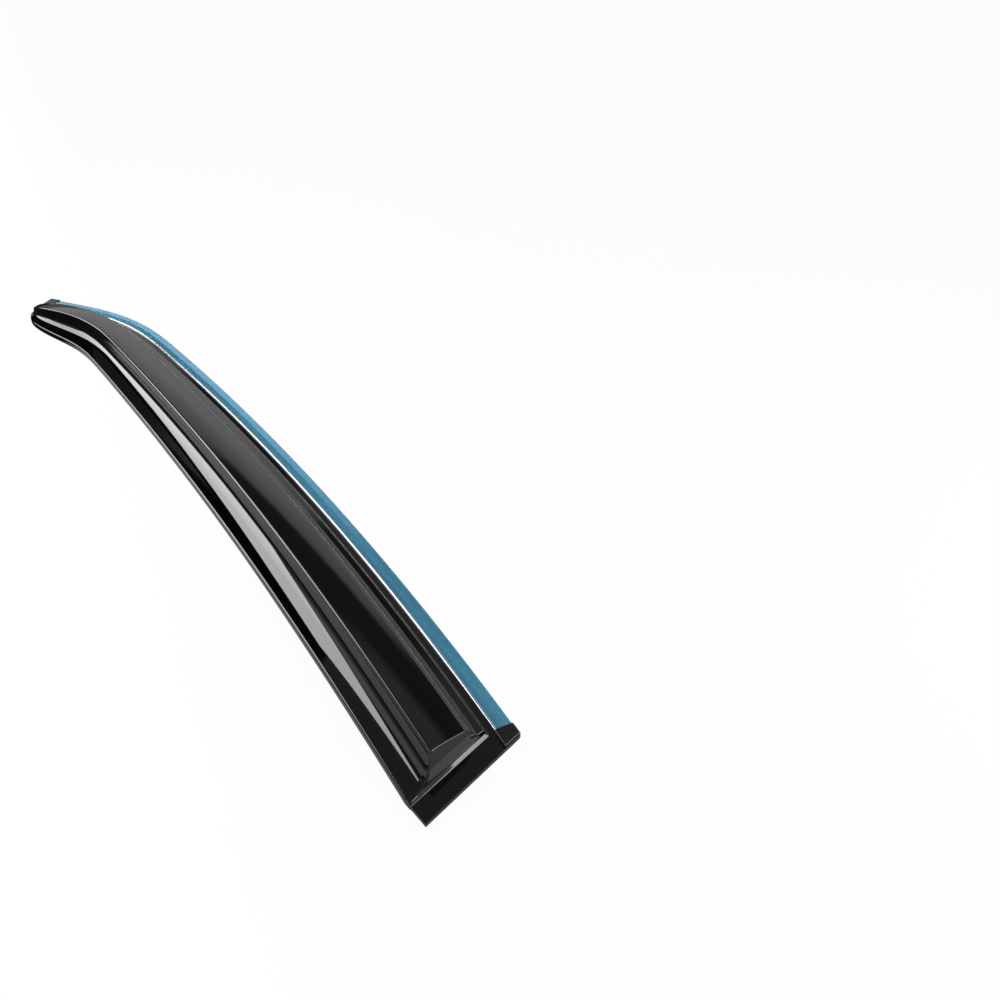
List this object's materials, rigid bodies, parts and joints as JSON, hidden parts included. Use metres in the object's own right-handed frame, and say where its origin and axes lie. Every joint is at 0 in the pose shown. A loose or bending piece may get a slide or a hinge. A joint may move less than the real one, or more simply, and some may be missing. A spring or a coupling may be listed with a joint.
{
  "type": "window rain deflector",
  "caption": "Curved glossy black side-window rain deflector with a bright trim strip under blue film, a creased raised face, a lower lip and a taped mounting flange.",
  "frame": {"origin": "middle of the outline seen from above, on the flat surface that the tape liners and the lower lip lie on", "axes": "+X from the wide end with the tab to the narrow rounded nose, +Y from the trimmed upper edge to the lower edge, +Z out of the glossy outer face"},
  "size_m": [0.717, 0.1318, 0.0214],
  "materials": {
    "shell": "high-gloss black acrylic, moulded in one piece",
    "trim": "bright polished stainless steel sheet",
    "film": "thin translucent blue protective film, slightly wrinkled",
    "cap": "satin black moulded plastic",
    "tape": "dark grey closed-cell acrylic foam tape",
    "liner": "smooth red polyethylene release liner"
  },
  "bodies": {
    "root": {"visor_shell": "shell", "trim_strip": "trim", "trim_film": "film", "trim_cap_wide": "cap", "trim_cap_narrow": "cap", "flange_tape": "tape", "flange_liner": "liner", "tab_tape": "tape", "tab_liner": "liner"}
  },
  "joints": []
}
